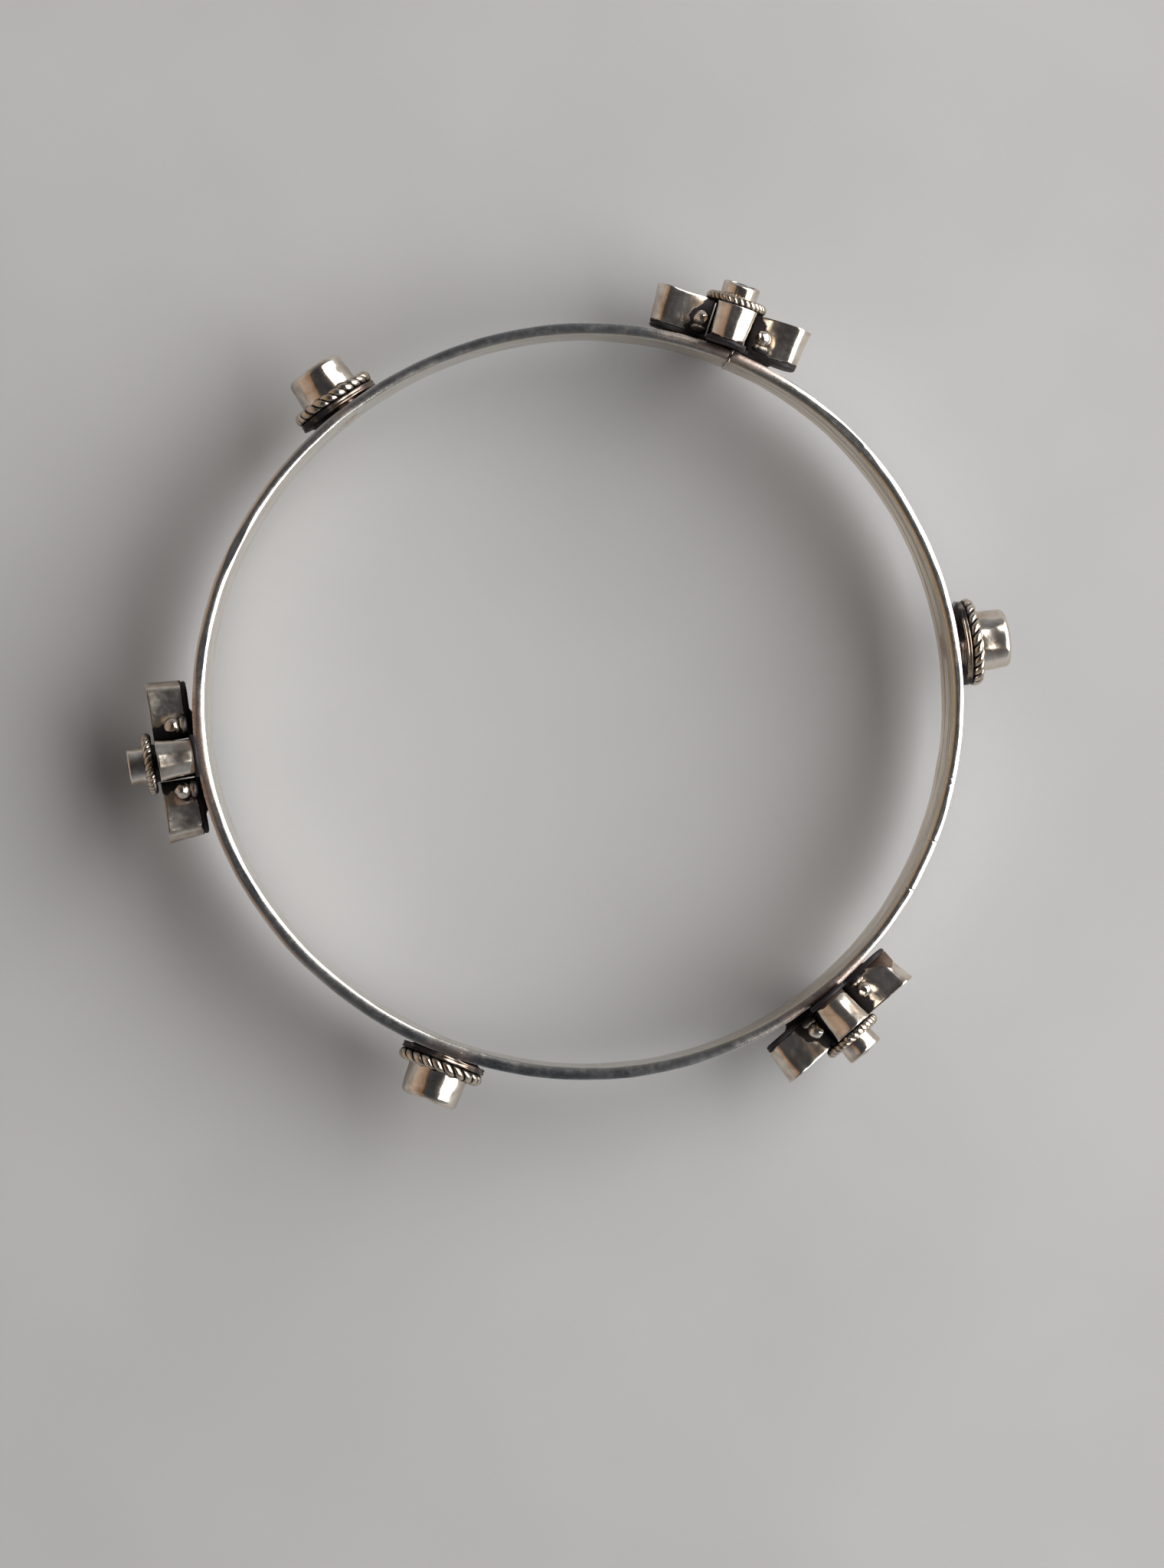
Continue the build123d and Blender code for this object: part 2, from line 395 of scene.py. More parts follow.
def band_material():
    """The strip: scuffed silver, rougher patches painted dark blue-grey as a reflection, a yellow-brown
    inside that is tarnish with a painted warm reflection, and red-brown fire stain near the solder.
    """
    n = Nodes("band_silver")
    # On the strip this mark holds only the fire stain.
    mark = n.attribute("oxide")
    speckle = n.ramp(n.noise(0.16, detail=6, roughness=0.7), 0.42, 0.66)
    patches = n.ramp(n.noise(4.5, detail=2, distortion=0.3), 0.3, 0.75)
    stained = n.math("MULTIPLY", n.ramp(mark, 0.12, 0.8), n.ramp(speckle, 0, 1, 0.4, 1.0), clamp=True)
    metal = n.mix(n.math("MULTIPLY", patches, 0.4), (0.80, 0.78, 0.74), (0.62, 0.58, 0.53))
    # Yellow-brown inside: tarnish, plus a painted warm reflection strongest on one side.
    metal = n.mix(n.attribute("warm"), metal, (0.56, 0.43, 0.24))
    # Painted dark reflection: the rim turns dark blue-grey where it faces away from the window light, and
    # is rougher there.
    dull = n.math("MULTIPLY", n.attribute("dull"), n.ramp(speckle, 0, 1, 0.8, 1.0))
    metal = n.mix(dull, metal, (0.14, 0.155, 0.18))
    n.put(n.shader.inputs["Base Color"], n.mix(stained, metal, (0.36, 0.22, 0.16)))
    n.shader.inputs["Metallic"].default_value = 1.0
    scuffs = n.noise(0.6, detail=7, roughness=0.62, stretch=(1, 1, 2.2))
    sheen = n.ramp(scuffs, 0.28, 0.75, 0.18, 0.27)
    worn = n.math("ADD", n.math("MULTIPLY", stained, 0.25), n.math("MULTIPLY", dull, 0.08))
    n.put(n.shader.inputs["Roughness"], n.math("ADD", sheen, worn, clamp=True))
    soft = n.bump(n.noise(2.2, detail=2), 1.0, 0.015)
    pits = n.bump(n.noise(0.12, detail=3), 1.0, 0.0006, under=soft)
    n.put(n.shader.inputs["Normal"], n.bump(scuffs, 1.0, 0.0012, under=pits))
    return n.material


def stone_material():
    """Dark blue-grey polished stone with faint cloudy veins."""
    n = Nodes("stone")
    cloud = n.ramp(n.noise(1.4, detail=7, distortion=1.4), 0.4, 0.75)
    n.put(n.shader.inputs["Base Color"], n.mix(cloud, (0.018, 0.026, 0.045), (0.07, 0.09, 0.13)))
    n.put(n.shader.inputs["Roughness"], n.ramp(n.noise(0.6, detail=6), 0.3, 0.8, 0.05, 0.16))
    n.shader.inputs["IOR"].default_value = 1.56
    n.shader.inputs["Coat Weight"].default_value = 0.6
    n.shader.inputs["Coat Roughness"].default_value = 0.04
    return n.material


def bed_material():
    """The dark filling under a stone."""
    n = Nodes("bed")
    grain = n.noise(0.3, detail=5)
    n.put(n.shader.inputs["Base Color"], n.mix(grain, (0.035, 0.02, 0.014), (0.10, 0.06, 0.04)))
    n.shader.inputs["Roughness"].default_value = 0.8
    n.put(n.shader.inputs["Normal"], n.bump(grain, 0.5, 0.05))
    return n.material


band_metal = band_material()
stone_glass = stone_material()
bed_filling = bed_material()

# ------------------------------------------------------------------ the band

SEAM_ANGLE = math.atan2(*centre_mm("band_seam_solder")[1::-1])
# Lines drawn along the inside of the strip: height, width and depth in mm.
GROOVES = ((2.0, 0.16, 0.05), (1.05, 0.12, 0.035), (-1.3, 0.18, 0.05))
# Where the outside and the rim are painted dark blue-grey, a painted reflection of the dim room, and made
# rougher: angle in degrees, spread in radians, how strong.
DULL_DARK_REFLECTION = ((281.0, 0.42, 0.95), (122.0, 0.42, 0.55), (222.0, 0.45, 0.4))
# Nicks across the top of the rim: angle in degrees, width and depth in mm.
NICKS = ((8.6, 0.16, 0.05), (9.6, 0.10, 0.035), (-0.4, 0.09, 0.035), (-8.4, 0.09, 0.035), (63.0, 0.2, 0.03))


def band_section():
    """The strip's section, its rims domed: distance in from the outer face, and height."""
    w, h = band_thickness, band_half
    dome, corner = 0.85, 0.16
    side, reach = w / 2 - corner, dome - corner
    meet = math.degrees(math.acos(side / reach))
    straight = h - dome + math.sqrt(reach**2 - side**2)
    levels = set(np.linspace(-straight, straight, 28).round(3))
    for z, width, _ in GROOVES:
        levels |= {round(z + width * t, 3) for t in (-0.6, -0.3, 0.0, 0.3, 0.6)}
    inner = [(w, z) for z in sorted(levels)]
    over = np.concatenate([
        arc((w - corner, straight), corner, 0, meet, 6)[1:],
        arc((w / 2, h - dome), dome, meet, 180 - meet, 16)[1:-1],
        arc((corner, straight), corner, 180 - meet, 180, 6),
    ])
    outer = [(0, z) for z in np.linspace(straight, -straight, 14)[1:-1]]
    under = over[::-1] * (1, -1)
    return np.concatenate([inner, over, outer, under])


def band_angles():
    """Angles round the band, closer together at the seam and the nicks."""
    angles = list(np.linspace(0, TURN, 720, endpoint=False))
    fine = [math.degrees(SEAM_ANGLE)] + [nick[0] for nick in NICKS]
    for centre in fine:
        # About a degree to either side.
        angles += list(math.radians(centre) + np.linspace(-1.0, 1.0, 33) / 57.3)
    return np.unique(np.round(np.mod(angles, TURN), 5))


def drawn_lines(a, z, inside):
    """The lines drawn along the inside of the strip: their depth, and how much of a line there is."""
    depth, share = np.zeros_like(a), np.zeros_like(a)
    for level, width, deep in GROOVES:
        fade = 0.5 + 0.5 * np.sin(3 * a + level * 5)
        cut = deep * gauss(z - level - 0.12 * np.sin(2 * a + level), width * 0.5) * (0.45 + 0.55 * fade)
        # Solder has run over the lines behind each round setting.
        for name in ROUNDS:
            cut *= 1 - gauss(angle_gap(a, SETTINGS[name].angle), 0.035)
        depth += cut * inside
        share = np.maximum(share, cut / deep * inside)
    return depth, share


def fire_stain(a, z, radius, flat, inside, past):
    """Red-brown stain near every soldered place, strongest on the outside and the rim."""
    stain = np.zeros_like(a)
    for name in FLOWERS:
        stain = np.maximum(stain, 0.95 * gauss(angle_gap(a, SETTINGS[name].angle), 0.2))
    for name in ROUNDS:
        stain = np.maximum(stain, 0.55 * gauss(angle_gap(a, SETTINGS[name].angle), 0.1))
    stain = stain * (1 - 0.75 * inside) + 0.25 * gauss(past, 0.4)
    stain += 0.12 * wobble(flat, 2.5, 5).reshape(a.shape)
    for name in ROUNDS:
        smudge = gauss(angle_gap(a, SETTINGS[name].angle) * radius, 1.1) * gauss(z, 1.6)
        stain += 0.8 * smudge * inside
    return stain


def dullness(a, flat, inside):
    """Painted dark reflection on the outside and the rim, which are also made rougher there."""
    dull = np.zeros_like(a)
    for middle, spread, amount in DULL_DARK_REFLECTION:
        dull = np.maximum(dull, amount * gauss(angle_gap(a, math.radians(middle)), spread))
    return (1 - 0.8 * inside) * (dull + 0.10 * wobble(flat, 2.5, 7).reshape(a.shape))


def inner_tarnish_and_reflection(a, flat, inside, lined):
    """Yellow-brown inside: tarnish, deeper in the lines, plus a painted warm reflection on the side of the
    first round setting.
    """
    # The painted warm reflection, strongest on one side of the ring.
    side = 0.5 + 0.5 * np.cos(a - math.radians(32))
    uneven = 0.10 * wobble(flat * (1, 1, 2), 5.0, 6).reshape(a.shape)
    return inside * (inside * (0.12 + 0.72 * side**2 + 0.3 * lined) + uneven)


def build_band():
    """The bent and hammered strip, with its drawn lines, its nicks and the groove at its joint."""
    section = band_section()
    angles = band_angles()
    a, d = np.meshgrid(angles, section[:, 0], indexing="ij")
    _, z = np.meshgrid(angles, section[:, 1], indexing="ij")
    radius = strip_radius(a, d, z)
    flat = np.stack([radius * np.cos(a), radius * np.sin(a), z], -1).reshape(-1, 3)
    radius += (0.018 * wobble(flat, 5.5, 1) + 0.006 * wobble(flat, 1.8, 2)).reshape(a.shape)
    z = z + (0.03 * wobble(flat, 7.0, 3)).reshape(a.shape) * np.sign(z) * smooth(0.5, 3.5, np.abs(z))
    inside = smooth(0.5 * band_thickness, band_thickness, d)
    cut, lined = drawn_lines(a, z, inside)
    radius += cut
    rim = smooth(band_half - 0.9, band_half - 0.1, z)
    for degrees, width, deep in NICKS:
        across = angle_gap(a, math.radians(degrees)) * radius
        z = z - deep * gauss(across, width) * rim
    # The two ends of the strip meet with a small step, and a groove that the solder fills.
    past = angle_gap(a, SEAM_ANGLE) * radius
    radius -= 0.06 * (past < 0) * gauss(past, 4.0)
    groove = 0.05 * gauss(past, 0.10)
    radius += groove * (2 * inside - 1)
    z = np.clip(z - groove * rim, band_low[2], band_high[2])
    points = np.stack([radius * np.cos(a), radius * np.sin(a), z], -1).reshape(-1, 3)
    rows, columns = a.shape
    make_piece(
        "band", points, grid_faces(rows, columns, close_rows=True), band_metal, ["band"], "band_silver",
        oxide=fire_stain(a, z, radius, flat, inside, past).ravel(),
        warm=inner_tarnish_and_reflection(a, flat, inside, lined).ravel(),
        dull=dullness(a, flat, inside).ravel(),
    )


def build_seam():
    """A thin uneven bead of solder laid in the groove, all the way round the strip's section."""
    section = band_section()
    rows, columns = len(section), 9
    half_width, swell, depth_below = 0.09, 0.03, 0.16
    across = np.linspace(-half_width, half_width, columns)
    out = loop_normals(section[::-1])[::-1]
    crown = swell * np.cos(across / half_width * math.pi / 2) - swell
    points = []
    for lift in (crown, np.full(columns, -depth_below)):
        for (d, z), normal in zip(section, out):
            for x, rise in zip(across, lift):
                depth, height = d + normal[0] * rise, z + normal[1] * rise
                points.append((strip_radius(SEAM_ANGLE, depth, height), x, height))
    points = np.array(points)
    points[:, 1] += 0.03 * wobble(points, 1.2, 9)
    points[:, 0] += 0.012 * wobble(points, 0.5, 10)
    c, s = math.cos(SEAM_ANGLE), math.sin(SEAM_ANGLE)
    radius, x = points[:, 0], points[:, 1]
    world = np.stack([radius * c - x * s, radius * s + x * c, points[:, 2]], -1)
    top = grid_faces(rows, columns, close_rows=True, close_columns=False)
    under = grid_faces(rows, columns, close_rows=True, close_columns=False, start=rows * columns)
    sides = []
    for r in range(rows):
        r2 = (r + 1) % rows
        for edge, flip in ((0, False), (columns - 1, True)):
            quad = tuple(row * columns + edge for row in (r, r2, rows + r2, rows + r))
            sides.append(quad[::-1] if flip else quad)
    world[:, 2] = np.clip(world[:, 2], band_low[2], band_high[2])
    make_piece(
        "band_seam_solder", world, top + [face[::-1] for face in under] + sides, bezel_metal,
        ["band_seam_solder"], "solder", 0.25 + 0.3 * wobble(world, 0.8, 11),
    )


# ------------------------------------------------------------------ pieces that every setting has


def place(setting, piece, points, faces, material, slot, oxide=None):
    """One of a setting's own pieces, from points in its frame."""
    label = f"{setting.name}_{piece}"
    make_piece(label, setting.world(points), faces, material, [label], slot, oxide)


def turned(
    setting, piece, profile, material, slot, seed, dent=0.02, oxide=None, columns=112,
    lean=0.0, slide=0.0, pivot=0.0, closed=False,
):
    """A lathe piece of a setting, dented by hand; it may lean towards +Z at its pivot, and slide round."""
    points, faces = lathe(profile, columns, closed)
    radial = points.copy()
    radial[:, 2] = 0
    length = np.maximum(np.linalg.norm(radial, axis=1, keepdims=True), 1e-6)
    dents = (dent * wobble(points, 1.6, seed))[:, None] * smooth(0.2, 0.9, length)
    points = points + radial / length * dents
    mark = oxide(points) if oxide else None
    c, s = math.cos(math.radians(lean)), math.sin(math.radians(lean))
    up, out = points[:, 1].copy(), points[:, 2] - pivot
    points[:, 1], points[:, 2] = up * c + out * s, pivot + out * c - up * s
    points[:, 0] += slide
    place(setting, piece, points, faces, material, slot, mark)


def rope(setting, twists, phase, seed, slide=0.0, worn=0.0):
    """Two round wires twisted together and closed into a ring."""
    low, high = setting.span("rope_ring")
    wire = (high[2] - low[2]) / 4 * 1.04
    ring = (high[0] - low[0]) / 2 - 2 * wire
    middle = (low[2] + high[2]) / 2
    steps, sides = 30 * twists, 12
    parts = []
    for strand in (0, 1):
        turn = np.arange(steps) * TURN / steps
        twist = -twists * turn + strand * math.pi + phase + 0.22 * np.sin(3 * turn + seed)
        out = np.stack([np.cos(turn), np.sin(turn), 0 * turn], -1)
        up = np.array([0, 0, 1.0])
        centre = out * (ring + wire * np.cos(twist))[:, None]
        centre = centre + up * (middle + wire * np.sin(twist))[:, None]
        along = np.roll(centre, -1, 0) - np.roll(centre, 1, 0)
        along /= np.linalg.norm(along, axis=1, keepdims=True)
        side = out * np.cos(twist)[:, None] + up * np.sin(twist)[:, None]
        side -= along * (side * along).sum(1, keepdims=True)
        side /= np.linalg.norm(side, axis=1, keepdims=True)
        other = np.cross(along, side)
        a = np.arange(sides) * TURN / sides
        # The wires are pulled tight, so each is a little wider along the rope than it is thick.
        tube = (
            centre[:, None]
            + side[:, None] * (np.cos(a) * wire * 0.98)[None, :, None]
            + other[:, None] * (np.sin(a) * wire * 1.2)[None, :, None]
        ).reshape(-1, 3)
        inner = 1 - smooth(-0.1 - worn, 0.75 - worn, np.repeat(np.cos(a)[None, :], steps, 0).ravel())
        parts.append((tube, grid_faces(steps, sides, close_rows=True), 0.95 * inner))
    points, faces, oxide = join(parts)
    points[:, 2] += 0.03 * wobble(points, 4.0, seed)
    # Painted shade with oxide: the wires darken below the rope's middle and on its inner side, where it
    # sits against the plate and the tube.
    below = 1 - smooth(middle - wire * 1.6, middle - wire * 0.4, points[:, 2])
    within = 1 - smooth(ring - wire * 1.4, ring - wire * 0.2, np.linalg.norm(points[:, :2], axis=1))
    oxide = np.maximum(oxide, 0.8 * np.maximum(below, within))
    points[:, 0] += slide
    place(setting, "rope_ring", points, faces, rope_metal, "rope_silver", oxide)


def foot(setting, top, seed, spill=None):
    """Solder that has run between the strip and the plate; a spill is (its angle in degrees, its reach)."""
    half_x, half_y, _ = setting.span("solder_foot")[1]
    columns, rows = 96, 10
    turn = np.arange(columns) * TURN / columns
    spread = 1 + 0.10 * wobble(np.stack([np.cos(turn), np.sin(turn), 0 * turn], -1) * 2, 2.2, seed)
    bright = 0 * turn
    if spill:
        bright = gauss(angle_gap(turn, math.radians(spill[0])), 0.36)
        spread += (spill[1] / half_y - 1) * bright
    points = []
    for r in range(rows):
        t = r / (rows - 1)
        pinch = 1 - 0.12 * math.sin(math.pi * t) + 0.06 * (1 - t)
        x, y = half_x * spread * pinch * np.cos(turn), half_y * spread * pinch * np.sin(turn)
        upper = setting.world(np.stack([x, y, 0 * x + top + 0.02], -1))
        angle = np.arctan2(upper[:, 1], upper[:, 0])
        height = np.minimum(np.abs(upper[:, 2]), band_half)
        skin = strip_radius(angle, 0.12, np.clip(upper[:, 2], -band_half, band_half))
        skin = skin - 0.5 * band_thickness * smooth(band_half - 0.5, band_half, height)
        near = np.stack([np.cos(angle) * skin, np.sin(angle) * skin, upper[:, 2]], -1)
        points.append(near + (upper - near) * t)
    points = np.concatenate(points)
    # Painted shade with oxide: the foot is dark in the gap between the strip and the plate, and clean where
    # solder has spilt.
    mark = 1.0 + 0.15 * wobble(points, 1.4, seed + 1) - 1.1 * np.tile(bright, rows)
    label = f"{setting.name}_solder_foot"
    make_piece(label, points, stacked_faces(rows, columns), solder_metal, [label], "solder", mark)


def bezel_profile(radius, inside, bottom, top, lip, taper=0.0):
    """A tube setting's outer wall, rolled lip and inner wall; it is narrower by taper at its lip."""
    mouth = radius - taper
    wall = runs((radius, bottom), (mouth, top - lip), step=0.16)
    over = arc((mouth - lip, top - lip), lip, 0, 90, 10)[1:]
    edge = arc((mouth - lip - 0.02, top - 0.07), 0.07, 90, 250, 6)[1:]
    under = runs(tuple(edge[-1]), (inside, top - lip - 0.12), (inside, bottom), step=0.25)[1:]
    return np.concatenate([wall, over, edge, under])


def dome_profile(radius, bottom, girdle, crest):
    """A cabochon from the rim of its base up over the girdle to the middle of its dome."""
    rise = crest - girdle
    sphere = (radius**2 + rise**2) / (2 * rise)
    reach = math.degrees(math.asin(min(1, radius / sphere)))
    top = arc((0, crest - sphere), sphere, 90 - reach, 89.0, 14)
    return np.concatenate([[(radius * 0.97, bottom), (radius, bottom + 0.05)], top])


# ------------------------------------------------------------------ flowers

PETALS = {"petal_left": 0, "petal_upper": 90, "petal_right": 180, "petal_lower": 270}
PETAL_SAMPLES = 168
PETAL_ROWS = 26
# What is particular to each flower, made by hand: the depth of the hammer marks, how much of the full
# height its petals stand and how much of that the one towards +Z, how far its crown leans towards +Z
# (degrees) and slides round the band, and how far the granules stand to either side of the middle.
BY_HAND = {
    "flower_1": {
        "hammer": 0.024, "height": 1.00, "near": 0.90, "lean": 9.0, "slide": 0.0, "granules": (2.5, 3.0)
    },
    "flower_2": {
        "hammer": 0.018, "height": 0.92, "near": 1.00, "lean": 0.0, "slide": 0.0, "granules": (2.7, 2.85)
    },
    "flower_3": {
        "hammer": 0.042, "height": 1.00, "near": 1.00, "lean": 1.0, "slide": -0.3, "granules": (2.9, 2.45)
    },
}
# Petals whose end wall tapers or hollows more than the others: how far, lip to foot and at the waist.
TAPERS = {"flower_3_petal_left": (0.55, 0.03), "flower_1_petal_right": (0.28, 0.10)}


def petal_outline(inner, tip, half, count=PETAL_SAMPLES):
    """A petal seen from outside, along +x: narrow inner end, wide shoulders, blunt point."""
    length = tip - inner
    corners = [
        (inner, -0.50 * half), (inner + 0.40 * length, -0.90 * half), (inner + 0.84 * length, -half),
        (tip, -0.30 * half), (tip, 0.30 * half),
        (inner + 0.84 * length, half), (inner + 0.40 * length, 0.90 * half), (inner, 0.50 * half),
    ]
    cuts = (0.4, 1.0, 0.62, 0.42, 0.42, 0.62, 1.0, 0.4)
    return rounded_loop(corners, cuts, count)


def turned_about(points, degrees):
    c, s = math.cos(math.radians(degrees)), math.sin(math.radians(degrees))
    out = points.copy()
    out[:, 0] = points[:, 0] * c - points[:, 1] * s
    out[:, 1] = points[:, 0] * s + points[:, 1] * c
    return out


def petal_oxide_and_shade(points, bottom, top, seed):
    """Painted shade with oxide: black in an arch round the granules' pocket, and a dark line at the foot.
    """
    level = np.clip((points[:, 2] - bottom) / (top - bottom), 0, 1)
    ragged = 0.22 * wobble(points, 1.3, seed) + 0.08 * wobble(points, 0.4, seed + 1)
    edge = 3.7 - 1.3 * level**2 + ragged
    pocket = 1 - smooth(edge - 0.35, edge + 0.45, points[:, 0])
    foot_line = 0.8 * (1 - smooth(0.0, 0.09, level + 0.1 * ragged))
    return np.maximum(pocket, foot_line)


def build_petal(setting, petal, degrees, seed):
    low, high = setting.span("petal_left")
    hand = BY_HAND[setting.name]
    bottom = low[2]
    share = hand["height"] * (hand["near"] if petal == "petal_upper" else 1.0)
    top = bottom + (high[2] - bottom) * share
    # The inner end reaches in to the crown's wall, so nothing shows between them.
    inner, tip, half = low[0] - 0.26, high[0], high[1] * 0.97
    wall = 0.30
    rng = np.random.default_rng(seed)
    flare, waist, foot_draw = rng.uniform(0.16, 0.34), rng.uniform(0.03, 0.09), rng.uniform(0.05, 0.12)
    flare, waist = TAPERS.get(f"{setting.name}_{petal}", (flare, waist))
    outline = petal_outline(inner, tip, half)
    normal = loop_normals(outline)
    end = smooth(inner + 1.5, tip, outline[:, 0])
    free = smooth(inner + 0.2, inner + 1.6, outline[:, 0])

    def ring_at(level, inset):
        """The outline at a share of the height: drawn in at the foot, a little at the waist."""
        draw = flare * (1 - level) * (0.25 + 0.75 * end) + waist * math.sin(math.pi * level)
        draw = draw + foot_draw * max(0.0, 1 - level / 0.34) ** 2
        flat = outline - normal * (draw * free + inset)[:, None]
        spot = np.column_stack([flat, np.full(len(flat), bottom + level * (top - bottom))])
        marks = wobble(spot * (1, 1, 0.35), 1.7, seed) + 0.16 * wobble(spot * (1, 1, 0.6), 0.9, seed + 1)
        spot[:, :2] -= normal * (0.03 + hand["hammer"] * marks)[:, None]
        return spot

    rows = [ring_at(level, 0) for level in np.linspace(0, 1, PETAL_ROWS) ** 1.15]
    for t in np.linspace(0, 1, 7)[1:]:
        edge = ring_at(1.0, wall * (0.45 - 0.45 * math.cos(math.pi * t)))
        edge[:, 2] += 0.05 * math.sin(math.pi * t) - 0.06 * t
        rows.append(edge)
    for level in np.linspace(0.98, 0.0, 8):
        rows.append(ring_at(level, wall))
    points = np.concatenate(rows)
    sag = 0.04 * wobble(points, 3.2, seed + 2) * smooth(bottom + 2, top, points[:, 2])
    points[:, 2] = np.minimum(points[:, 2] - 0.04 + sag, high[2])
    faces = grid_faces(len(rows), len(outline), close_rows=True)
    oxide = petal_oxide_and_shade(points, bottom, top, seed + 3)
    # The walls inside the cup are dark: painted shade with oxide.
    oxide[(PETAL_ROWS + 5) * len(outline):] = 0.85
    place(setting, petal, turned_about(points, degrees), faces, bezel_metal, "bezel_silver", oxide)


# How far the fillings stand in from the petals' outline, and how far a stone's edge is under its crest.
FILL_INSET, STONE_EDGE_DROP = 0.42, 0.22


def petal_fill(setting, piece, domed, seed):
    """What lies inside the petals: a stone with a domed top, or the filling under it."""
    low, high = setting.span("petal_left")
    part_low, part_high = setting.span(piece)
    shorter = (high[2] - low[2]) * (1 - BY_HAND[setting.name]["height"])
    bottom, top = part_low[2], part_high[2] - shorter
    if not domed:
        top = setting.span("petal_stones")[0][2] + 0.01
    drop = STONE_EDGE_DROP if domed else 0
    outline = petal_outline(low[0], high[0], high[1], 84)
    edge = outline - loop_normals(outline) * FILL_INSET
    middle = np.array([low[0] + 0.52 * (high[0] - low[0]), 0])
    parts = []
    for k, degrees in enumerate(PETALS.values()):
        levels = [(edge, bottom), (edge, top - drop)]
        for share in np.linspace(1, 0.04, 12)[1:]:
            levels.append((middle + (edge - middle) * share, top - drop + drop * (1 - share**2.6)))
        points = np.concatenate([np.column_stack([flat, np.full(len(edge), z)]) for flat, z in levels])
        if domed:
            points[:, 2] += 0.03 * wobble(points, 1.6, seed + k) * smooth(bottom + 0.2, top, points[:, 2])
        faces = stacked_faces(len(levels), len(edge))
        parts.append((turned_about(points, degrees), faces, np.zeros(len(points))))
    return parts


def build_granules(setting, seed):
    """In each corner between petals a ball, sunk a little into the small wire ring it was melted on."""
    seat_low, seat_high = setting.span("granule_seats")
    ball_low, ball_high = setting.span("granules")
    rng = np.random.default_rng(seed)
    ball_r = (ball_high[2] - ball_low[2]) / 2 + 0.02
    height = seat_high[2] - seat_low[2]
    corner = ball_high[0] - ball_r
    beside = BY_HAND[setting.name]["granules"]
    seats, balls = [], []
    for sx, x in ((1, beside[0]), (-1, beside[1])):
        for sy in (1, -1):
            centre = np.array([sx * x, sy * (corner + rng.uniform(-0.1, 0.06)), 0])
            size = rng.uniform(0.98, 1.06)
            round_side = arc((0.70 * size - height / 2, seat_low[2] + height / 2), height / 2, -90, 90, 14)
            seat = np.concatenate([[(0.05, seat_low[2])], round_side, [(0.05, seat_high[2])]])
            ring, ring_faces = lathe(seat, 40, closed=True)
            ring += 0.03 * wobble(ring + centre, 0.8, seed + 1)[:, None]
            # Painted shade with oxide: each ring darkens towards its foot.
            low = 1 - smooth(seat_low[2] + 0.15, seat_high[2] + 0.1, ring[:, 2])
            seats.append((ring + centre, ring_faces, 0.25 + 0.5 * low))
            across = arc((0, 0), ball_r * size, -88, 88, 24)
            ball, ball_faces = lathe(across, 44, closed=True)
            ball += 0.03 * wobble(ball + centre, 1.0, seed + 2)[:, None]
            ball += centre + (0, 0, ball_low[2] + ball_r - 0.1)
            # Painted shade with oxide: each ball darkens towards its underside.
            low = 1 - smooth(ball_low[2] + 0.1, ball_low[2] + 0.75, ball[:, 2])
            balls.append((ball, ball_faces, 0.6 * low))
    for piece, parts in (("granule_seats", seats), ("granules", balls)):
        points, faces, oxide = join(parts)
        place(setting, piece, points, faces, granule_metal, "granule_silver", oxide)


def plate_reach(setting, turn):
    """How far the base plate reaches at each angle: the petals' outline with its corners softened."""
    petal_low, petal_high = setting.span("petal_left")
    quarter = angle_gap(turn * 4, 0) / 4
    outline = petal_outline(petal_low[0], petal_high[0], petal_high[1], 600)
    outline_angle = np.arctan2(outline[:, 1], outline[:, 0])
    outline_far = np.linalg.norm(outline, axis=1)
    reach = np.full(len(turn), 2.9)
    for i, q in enumerate(quarter):
        near = np.abs(outline_angle - q) < 0.03
        if near.any():
            reach[i] = max(reach[i], outline_far[near].max())
    around = np.concatenate([reach[-3:], reach, reach[:3]])
    reach = np.convolve(around, np.ones(7) / 7, "valid") - 0.42
    return np.minimum(reach, setting.span("base_plate")[1][0])


def build_plate(setting, seed):
    """The thin plate under the petals, its edge softened and its ends pressed down a little."""
    columns = 360
    turn = np.arange(columns) * TURN / columns
    reach = plate_reach(setting, turn)
    low = setting.span("base_plate")[0][2]
    thick = setting.span("petal_left")[0][2] - low
    profile = [
        (0.02, 0.0), (0.5, 0.0), (0.9, 0.0), (0.975, 0.0), (0.992, 0.06), (1.0, 0.15),
        (1.0, thick - 0.12), (0.993, thick - 0.03),
        (0.975, thick), (0.9, thick), (0.5, thick), (0.02, thick),
    ]
    rows = []
    for share, height in profile:
        r = reach * share
        rows.append(np.stack([r * np.cos(turn), r * np.sin(turn), 0 * r + low + height], -1))
    points = np.concatenate(rows)
    outer = smooth(3.0, 6.5, np.linalg.norm(points[:, :2], axis=1))
    points[:, 2] -= 0.05 * np.abs(wobble(points * (1, 1, 0), 4.0, seed + 3)) * outer
    mark = 1.0 + 0.15 * wobble(points, 1.6, seed + 4)
    faces = stacked_faces(len(rows), columns)
    place(setting, "base_plate", points, faces, plate_metal, "plate_silver", mark)


def build_petal_fillings(setting, seed):
    """The stones in the petals, and the filling under them and under the crown's stone."""
    points, faces, _ = join(petal_fill(setting, "petal_stones", True, seed + 60))
    place(setting, "petal_stones", points, faces, stone_glass, "stone")
    beds = petal_fill(setting, "stone_beds", False, seed + 70)
    plate_top = setting.span("petal_left")[0][2]
    stone_low, stone_high = setting.span("crown_stone")
    plug_radius = stone_high[0] - 0.02
    plug_side = [(plug_radius, plate_top), (plug_radius, stone_low[2]), (0.03, stone_low[2])]
    plug, plug_faces = lathe(plug_side, 64, closed=True)
    beds.append((plug, plug_faces, np.zeros(len(plug))))
    points, faces, _ = join(beds)
    place(setting, "stone_beds", points, faces, bed_filling, "bed")


